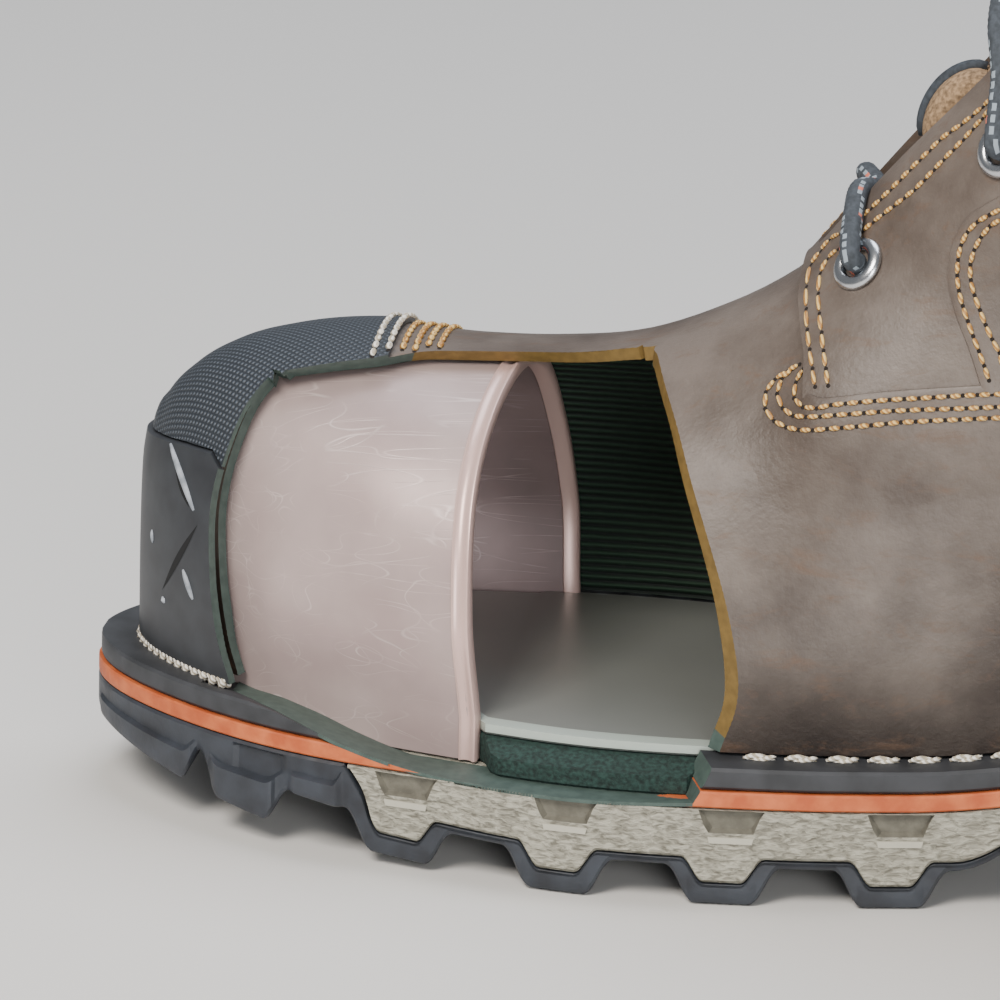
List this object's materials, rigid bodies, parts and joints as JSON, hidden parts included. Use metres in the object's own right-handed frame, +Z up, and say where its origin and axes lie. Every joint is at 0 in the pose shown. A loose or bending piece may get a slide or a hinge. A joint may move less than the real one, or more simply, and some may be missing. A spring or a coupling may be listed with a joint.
{
  "type": "steel toe boot",
  "caption": "Left ankle-high leather work boot, cut open over the toe to show its steel cap, insole plate and foam, on a lugged sole.",
  "frame": {"origin": "centre of the footprint's bounding box, on the floor", "axes": "X from toe to heel, Y to the inner side of the foot, Z up"},
  "size_m": [0.3176, 0.1166, 0.2224],
  "materials": {
    "black_rubber": "moulded",
    "stone_foam": "pebbled",
    "tan_midsole": "satin",
    "welt_rubber": "satin",
    "footbed_foam": "matt",
    "insole_steel": "satin",
    "cap_steel": "scratched",
    "brown_leather": "oiled",
    "grey_leather": "embossed",
    "bumper_rubber": "moulded",
    "tongue_mesh": "woven",
    "eyelet_metal": "polished",
    "lace_cord": "braided"
  },
  "bodies": {
    "root": {"outsole": "black_rubber", "sole_core": "stone_foam", "midsole": "tan_midsole", "welt": "welt_rubber", "foam": "footbed_foam", "insole_plate": "insole_steel", "toe_cap": "cap_steel", "upper": "brown_leather", "toe_guard": "grey_leather", "toe_bumper": "bumper_rubber", "eyestays": "brown_leather", "tongue": "tongue_mesh", "lace": "lace_cord", "eyelet_outer_1": "eyelet_metal", "eyelet_outer_2": "eyelet_metal", "eyelet_outer_3": "eyelet_metal", "eyelet_outer_4": "eyelet_metal", "eyelet_inner_1": "eyelet_metal", "eyelet_inner_2": "eyelet_metal", "eyelet_inner_3": "eyelet_metal", "eyelet_inner_4": "eyelet_metal"}
  },
  "joints": []
}
